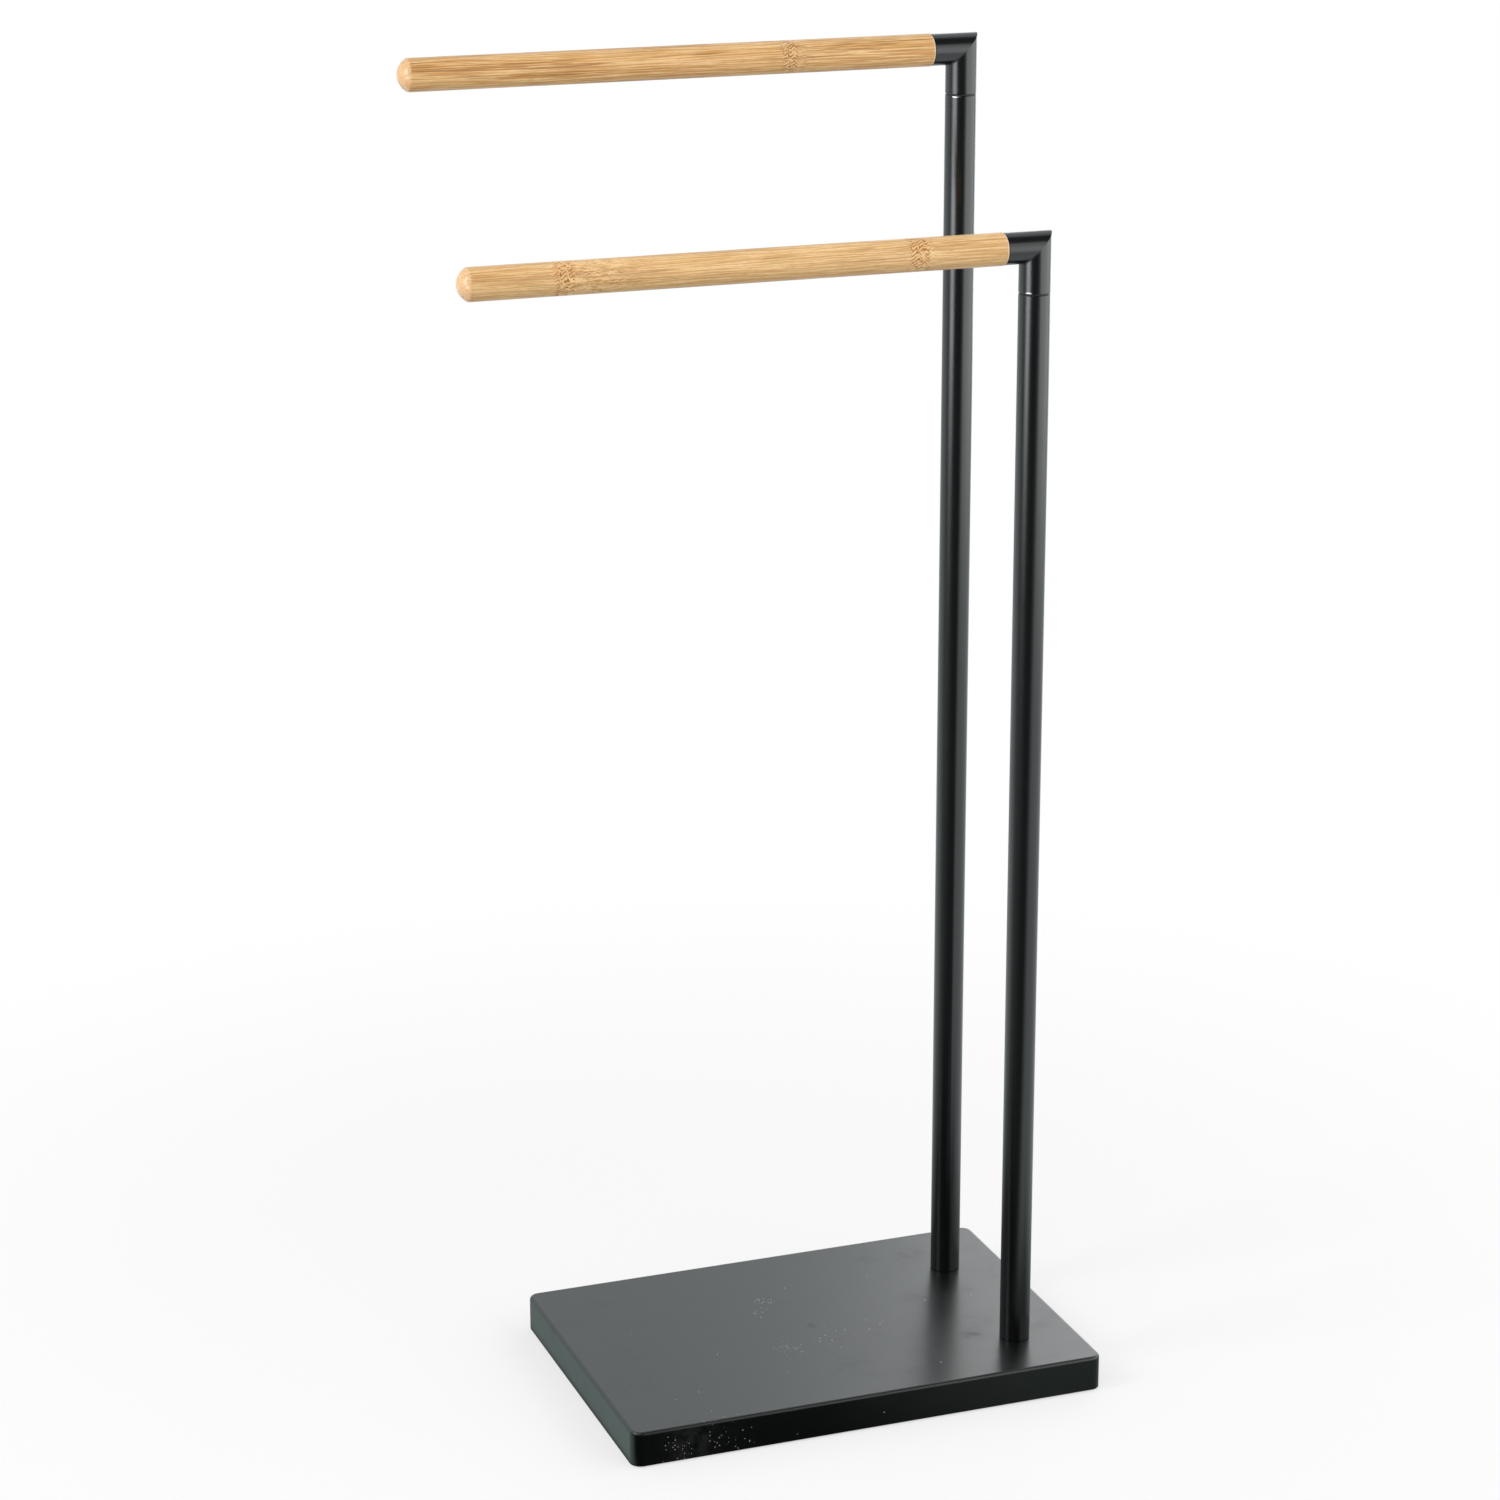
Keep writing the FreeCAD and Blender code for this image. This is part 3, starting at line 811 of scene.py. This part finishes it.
def turned_bar_tree():
    """Geometry nodes for a turned rod: a path along X whose radius follows the dome, rod and chamfer."""
    tree = bpy.data.node_groups.new("turned_bar", "GeometryNodeTree")
    graph = Graph(tree)
    given = graph.inputs_of(
        ("Tip", "End", "Axis Y", "Axis Z", "Radius", "Dome Depth", "Chamfer", "Chip Depth"), ("Facets",))

    # The dome is part of a ball whose radius follows from its depth and the rod's radius.
    depth = given["Dome Depth"]
    squares = graph.plus(graph.math("POWER", given["Radius"], 2.0), graph.math("POWER", depth, 2.0))
    ball = graph.math("DIVIDE", squares, graph.times(depth, 2.0))
    dome_angle = graph.math("ARCSINE", graph.math("DIVIDE", given["Radius"], ball))

    # The path's rings: some over the dome, most along the rod, and many over the last stretch.
    rings, dome_share, rod_share, end_zone = 150, 0.14, 0.64, 3.0 * MM
    path, share = graph.rings(rings)
    angle = graph.times(graph.ramp(share, 0.0, dome_share, smooth=False), dome_angle)
    dome_x = graph.times(ball, graph.minus(1.0, graph.math("COSINE", angle)))
    rod_length = graph.minus(graph.minus(given["End"], graph.plus(given["Tip"], depth)), end_zone)
    rod_x = graph.times(graph.ramp(share, dome_share, rod_share, smooth=False), rod_length)
    end_x = graph.ramp(share, rod_share, 1.0, 0.0, end_zone, smooth=False)
    x = graph.plus(given["Tip"], graph.sum([dome_x, rod_x, end_x]))

    # Radius at each ring: the ball's over the dome, then the rod's, less the chamfer.
    full = graph.times(ball, graph.math("SINE", angle))
    cut = graph.math("MAXIMUM", graph.minus(x, graph.minus(given["End"], given["Chamfer"])), 0.0)
    places = graph.joined(x, given["Axis Y"], given["Axis Z"])
    rod = graph.sweep(path, places, graph.minus(full, cut), given["Facets"])

    # Chips in the sawn edge, and the slight waviness that sanding leaves.
    wave_depth, chipped_length, ragged_length, tear = 0.05 * MM, 1.4 * MM, 2.5 * MM, -3.0
    spot = graph.add("GeometryNodeInputPosition").outputs[0]
    spot_x, spot_y, spot_z = graph.parts(spot)
    off_axis = graph.joined(0.0, graph.minus(spot_y, given["Axis Y"]), graph.minus(spot_z, given["Axis Z"]))
    outward = graph.vector("NORMALIZE", off_axis)
    grain = graph.vector("MULTIPLY", spot, (500.0, 900.0, 900.0))
    chips = graph.ramp(graph.noise(grain, 1.0, detail=1.0), 0.55, 0.75)
    near_end = graph.ramp(spot_x, graph.minus(given["End"], chipped_length), given["End"])
    chip = graph.times(graph.times(chips, near_end), given["Chip Depth"])
    sanding = graph.noise(graph.vector("MULTIPLY", spot, (14.0, 90.0, 90.0)), 1.0)
    ripple = graph.times(graph.minus(sanding, 1.0), wave_depth)
    inward = graph.vector("SCALE", outward)
    graph.wire(inward.node.inputs["Scale"], graph.minus(ripple, chip))
    ragged = graph.ramp(spot_x, graph.minus(given["End"], ragged_length), given["End"], smooth=False)
    torn_back = graph.times(graph.times(chips, ragged), graph.times(given["Chip Depth"], tear))
    offset = graph.vector("ADD", inward, graph.joined(torn_back, 0.0, 0.0))
    worked = graph.add("GeometryNodeSetPosition", inputs={"Geometry": rod, "Offset": offset})

    graph.finish_piece(worked.outputs[0], given["Material"])
    return tree


def place_object(name, data):
    """A new object in the scene, with this mesh, lamp or camera."""
    placed = bpy.data.objects.new(name, data)
    bpy.context.scene.collection.objects.link(placed)
    return placed


def grow_piece(name, tree, values):
    """Runs a node tree with these input values and keeps its result as one plain mesh object."""
    seed = place_object(name + "_seed", bpy.data.meshes.new(name + "_seed"))
    modifier = seed.modifiers.new("shape", "NODES")
    modifier.node_group = tree
    identifiers = {item.name: item.identifier for item in tree.interface.items_tree if item.in_out == "INPUT"}
    for key, value in values.items():
        modifier[identifiers[key]] = value
    evaluated = seed.evaluated_get(bpy.context.evaluated_depsgraph_get())
    mesh = bpy.data.meshes.new_from_object(evaluated)
    bpy.data.objects.remove(seed)
    if not mesh.polygons:
        raise RuntimeError(name + " came out empty")
    mesh.name = name
    return place_object(name, mesh)


class TOWELSTAND_OT_turn_bars(bpy.types.Operator):
    """Turns the two bamboo towel bars, with their domed ends, knots and bare cut ends"""

    bl_idname = "towelstand.turn_bars"
    bl_label = "Turn the bamboo bars"

    def execute(self, context):
        look = context.scene.towelstand_bamboo
        tree = turned_bar_tree()
        tones = {"rear": 1.0, "front": 0.35}
        chips = {"rear": 0.0, "front": look.chip_depth}
        for arm, bar in BARS.items():
            piece = grow_piece(arm + "_bamboo_bar", tree, {
                "Tip": bar.tip,
                "End": bar.end,
                "Axis Y": bar.axis_y,
                "Axis Z": bar.axis_z,
                "Radius": bar.radius,
                "Dome Depth": look.dome_depth,
                "Chamfer": look.chamfer,
                "Chip Depth": chips[arm],
                "Facets": look.facets,
                "Material": bamboo_material(arm + "_bamboo", bar, look, tones[arm]),
            })
            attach(piece, arm + "_arm")
            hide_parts(arm + "_towel_bar")
        return {"FINISHED"}


# ---- stage

# How bright the room and the floor are to gloss in each direction around the object: angle from the
# front (-Y) towards the right (+X) in degrees, and brightness, where 1 is white.
ROOM_RING = (
    (-180, 0.9), (-120, 1.0), (-100, 0.5), (-70, 0.28), (-20, 0.1),
    (0, 0.1), (8, 0.3), (26, 1.0), (100, 1.0), (150, 0.95),
)
# Overhead in front the room is dimmer, by this share, between these two heights of a unit direction.
OVERHEAD, OVERHEAD_FROM, OVERHEAD_TO = 0.1, 0.12, 0.42
# To gloss, the floor glows as a painted reflection. Right beside the base it has its own brightness, a
# painted shade in front of it, growing to the right between these two places, and a brighter strip to its
# left. That strip is whole at one distance and gone at the other.
NEAR_FRONT_LEFT, NEAR_FRONT_RIGHT, NEAR_LEFT = 0.01, 0.20, 0.55
FRONT_GROWS_FROM, FRONT_GROWS_TO = -0.05, 0.14
STRIP_WHOLE, STRIP_GONE = 0.05, 0.16
# Elsewhere it is dimmer close to the base, by this share, a painted shade in its reflection.
CLOSE_SHARE, CLOSE_FROM, CLOSE_TO = 0.35, 0.03, 0.30
# To the camera, the floor turns from paper into the white backdrop between these two distances.
PAPER_RADIUS, BACKDROP_RADIUS = 0.3, 1.0
ROOM_TINT, NEAR_TINT = (0.91, 0.98, 1.0), (0.79, 1.0, 0.95)
PLAIN, COOL = (1.0, 1.0, 1.0), (0.93, 0.97, 1.0)
ARMS = (0.1, 0.0, 0.7)
# The lamps: name, centre, the place it faces, width, height, its brightness setting, tint, and the full
# angle in degrees that a honeycomb grid leaves open in front of it.
LAMPS = (
    ("left_strip", (-1.65, -0.72, 0.45), (0.1155, 0.0, 0.92), 1.9, 0.40, "left_lamp", COOL, 44.0),
    ("left_softbox", (-1.60, -0.20, 1.30), ARMS, 0.6, 0.8, "left_softbox", PLAIN, None),
    ("right_softbox", (1.54, -0.90, 1.05), ARMS, 3.0, 2.0, "right_lamp", PLAIN, None),
    ("top_softbox", (-1.2, -1.3, 2.3), ARMS, 1.6, 1.2, "top_lamp", PLAIN, None),
    ("back_softbox", (1.65, 1.64, 0.9), (0.1, 0.0, 0.3), 1.7, 1.5, "back_lamp", PLAIN, None),
)


def hang_lamp(name, centre, aim, width, height, brightness, tint, grid):
    """A soft rectangular lamp. brightness is that of its face, where 1 is white."""
    lamp = bpy.data.lights.new(name, "AREA")
    lamp.shape = "RECTANGLE"
    lamp.size = width
    lamp.size_y = height
    lamp.energy = brightness * math.pi * width * height
    lamp.color = tint
    if grid:
        half = math.radians(grid) / 2
        lamp.spread = 2 * half
        lamp.energy *= (math.tan(half) - half) / math.tan(half)
    holder = place_object(name, lamp)
    holder.location = centre
    holder.rotation_euler = (Vector(aim) - Vector(centre)).to_track_quat("-Z", "Y").to_euler()
    holder.visible_camera = False


def grey(value):
    return (value, value, value)


def ring_brightness(graph, direction):
    """ROOM_RING's brightness for a direction seen from the object."""
    x, y = graph.parts(direction)[:2]
    angle = graph.math("ARCTAN2", x, graph.times(y, -1.0))
    share = graph.times_plus(angle, 0.5 / math.pi, 0.5)
    node = graph.add("ShaderNodeValToRGB", inputs={"Fac": share})
    stops = node.color_ramp.elements
    brightest = max(value for angle, value in ROOM_RING)
    for index, (degrees, value) in enumerate(ROOM_RING):
        stop = stops[index] if index < 2 else stops.new(1.0)
        stop.position = degrees / 360 + 0.5
        stop.color = (*grey(value / brightest), 1.0)
    return graph.times(graph.parts(node.outputs["Color"])[0], brightest)


def room_world(look):
    """White to the camera. Gloss sees a bright backdrop behind the object and a dark room in front."""
    world = bpy.data.worlds.new("room")
    world.use_nodes = True
    bpy.context.scene.world = world
    graph = Graph(world.node_tree)
    direction = graph.add("ShaderNodeTexCoord").outputs["Generated"]
    depth, height = graph.parts(direction)[1:]
    in_front = graph.ramp(depth, 0.25, -0.05)
    overhead = graph.times(graph.ramp(height, OVERHEAD_FROM, OVERHEAD_TO), in_front)
    dimming = graph.ramp(overhead, 0.0, 1.0, 1.0, OVERHEAD)
    brightness = graph.times(ring_brightness(graph, direction), dimming)
    in_gloss = graph.vector("MULTIPLY", graph.joined(brightness, brightness, brightness), ROOM_TINT)
    rays = graph.add("ShaderNodeLightPath").outputs
    around = graph.blend(rays["Is Glossy Ray"], grey(look.room), in_gloss)
    shown = graph.blend(rays["Is Camera Ray"], around, grey(1.0))
    background = graph.add("ShaderNodeBackground", inputs={"Color": shown, "Strength": 1.0})
    graph.add("ShaderNodeOutputWorld", inputs={"Surface": background.outputs[0]})


def floor_brightness(graph, place):
    """The floor's brightness and tint to gloss, a painted reflection: the ring's, but for the strips right
    beside the base and the painted shade close to it.
    """
    x, y = graph.parts(place)[:2]
    out_left = graph.minus(BASE_LOW.x, x)
    out_right = graph.minus(x, BASE_HIGH.x)
    out_front = graph.minus(BASE_LOW.y, y)
    out_back = graph.minus(y, BASE_HIGH.y)
    away = graph.math("MAXIMUM", out_left, out_right)
    for out in (out_front, out_back):
        away = graph.math("MAXIMUM", away, out)
    front = graph.ramp(x, FRONT_GROWS_FROM, FRONT_GROWS_TO, NEAR_FRONT_LEFT, NEAR_FRONT_RIGHT)
    in_front = graph.times(graph.ramp(out_front, 0.0, 3 * MM), front)
    left = graph.times(graph.ramp(out_left, 0.0, 3 * MM), graph.ramp(out_front, 5 * MM, -5 * MM))
    beside = graph.plus(graph.times(left, NEAR_LEFT), in_front)
    out = graph.ramp(graph.math("MAXIMUM", out_left, out_front), 0.0, 2 * MM)
    in_strip = graph.times(graph.ramp(away, STRIP_GONE, STRIP_WHOLE), out)
    # Painted shade: to gloss the floor is dimmer close to the base.
    dimming = graph.ramp(away, CLOSE_FROM, CLOSE_TO, CLOSE_SHARE, 1.0)
    ring = graph.times(ring_brightness(graph, place), dimming)
    ring = graph.times(ring, graph.minus(1.0, in_strip))
    return graph.times_plus(beside, in_strip, ring), graph.blend(in_strip, ROOM_TINT, NEAR_TINT)


def floor_material(look):
    """Pale floor. It takes the object's shadow close by and turns into the white backdrop further off.

    To gloss it glows as a painted reflection, as bright as the room beyond it but darker beside the base, and
    to everything else it is a dim grey.
    """
    material, graph, place = new_material("pale_floor")
    distance = graph.vector("LENGTH", place)
    rays = graph.add("ShaderNodeLightPath").outputs
    paper = graph.shader("ShaderNodeBsdfDiffuse", look.floor)
    dim_paper = graph.shader("ShaderNodeBsdfDiffuse", grey(look.floor_bounce))
    white = graph.shader("ShaderNodeEmission", grey(1.0))
    faded = graph.ramp(distance, PAPER_RADIUS, BACKDROP_RADIUS, look.floor_lift, 1.0)
    to_camera = graph.mix_shaders(faded, paper, white)
    brightness, tint = floor_brightness(graph, place)
    glow = graph.shader("ShaderNodeEmission", tint, brightness)
    to_others = graph.mix_shaders(rays["Is Glossy Ray"], dim_paper, glow)
    both = graph.mix_shaders(rays["Is Camera Ray"], to_others, to_camera)
    graph.add("ShaderNodeOutputMaterial", inputs={"Surface": both})
    return material


def lay_floor(look):
    """A round floor just under the object."""
    radius, sides, drop = 6.0, 64, 0.2 * MM
    corners = [
        (radius * math.cos(2 * math.pi * step / sides), radius * math.sin(2 * math.pi * step / sides), -drop)
        for step in range(sides)
    ]
    mesh = bpy.data.meshes.new("floor")
    mesh.from_pydata(corners, [], [tuple(range(sides))])
    mesh.materials.append(floor_material(look))
    place_object("floor", mesh)


def stand_camera(look):
    """The camera, aimed by its yaw, pitch and roll."""
    forward = Vector((
        math.sin(look.camera_yaw) * math.cos(look.camera_pitch),
        math.cos(look.camera_yaw) * math.cos(look.camera_pitch),
        -math.sin(look.camera_pitch),
    ))
    right = Vector((math.cos(look.camera_yaw), -math.sin(look.camera_yaw), 0.0))
    up = right.cross(forward)
    turn, lean = math.cos(look.camera_roll), math.sin(look.camera_roll)
    rolled_right = turn * right + lean * up
    rolled_up = turn * up - lean * right
    data = bpy.data.cameras.new("camera")
    data.lens = look.lens
    data.sensor_width = 36.0
    data.clip_start = 0.05
    data.clip_end = 50.0
    camera = place_object("camera", data)
    axes = Matrix((rolled_right, rolled_up, -forward)).transposed()
    camera.matrix_world = Matrix.Translation(Vector(look.camera_place)) @ axes.to_4x4()
    bpy.context.scene.camera = camera


class TOWELSTAND_OT_set_stage(bpy.types.Operator):
    """Lays the floor, hangs the softboxes and stands the camera"""

    bl_idname = "towelstand.set_stage"
    bl_label = "Set the stage"

    def execute(self, context):
        look = context.scene.towelstand_stage
        context.scene.view_settings.view_transform = "Standard"
        lay_floor(look)
        room_world(look)
        for name, centre, aim, width, height, setting, tint, grid in LAMPS:
            hang_lamp(name, centre, aim, width, height, getattr(look, setting), tint, grid)
        stand_camera(look)
        return {"FINISHED"}


# ---- panel and run

STEPS = (
    TOWELSTAND_OT_coat_metal,
    TOWELSTAND_OT_lay_mitre_beads,
    TOWELSTAND_OT_finish_hardware,
    TOWELSTAND_OT_turn_bars,
    TOWELSTAND_OT_set_stage,
)
SETTINGS = {
    "towelstand_coat": TOWELSTAND_PG_coat,
    "towelstand_bamboo": TOWELSTAND_PG_bamboo,
    "towelstand_hardware": TOWELSTAND_PG_hardware,
    "towelstand_stage": TOWELSTAND_PG_stage,
}


class TOWELSTAND_PT_panel(bpy.types.Panel):
    """The steps that finish the stand, with the sizes and colours each one reads"""

    bl_idname = "TOWELSTAND_PT_panel"
    bl_label = "Towel stand"
    bl_space_type = "VIEW_3D"
    bl_region_type = "UI"
    bl_category = "Towel stand"

    def draw(self, context):
        for step in STEPS:
            self.layout.operator(step.bl_idname)
        for name, group in SETTINGS.items():
            box = self.layout.box()
            box.label(text=group.__doc__)
            for key in group.__annotations__:
                box.prop(getattr(context.scene, name), key)


def register():
    for group in (*SETTINGS.values(), *STEPS, TOWELSTAND_PT_panel):
        bpy.utils.register_class(group)
    for name, group in SETTINGS.items():
        setattr(bpy.types.Scene, name, PointerProperty(type=group))


def unregister():
    for name in SETTINGS:
        delattr(bpy.types.Scene, name)
    for group in reversed((*SETTINGS.values(), *STEPS, TOWELSTAND_PT_panel)):
        bpy.utils.unregister_class(group)


def main():
    register()
    bpy.ops.towelstand.coat_metal()
    bpy.ops.towelstand.lay_mitre_beads()
    bpy.ops.towelstand.finish_hardware()
    bpy.ops.towelstand.turn_bars()
    bpy.ops.towelstand.set_stage()


if __name__ == "__main__":
    main()
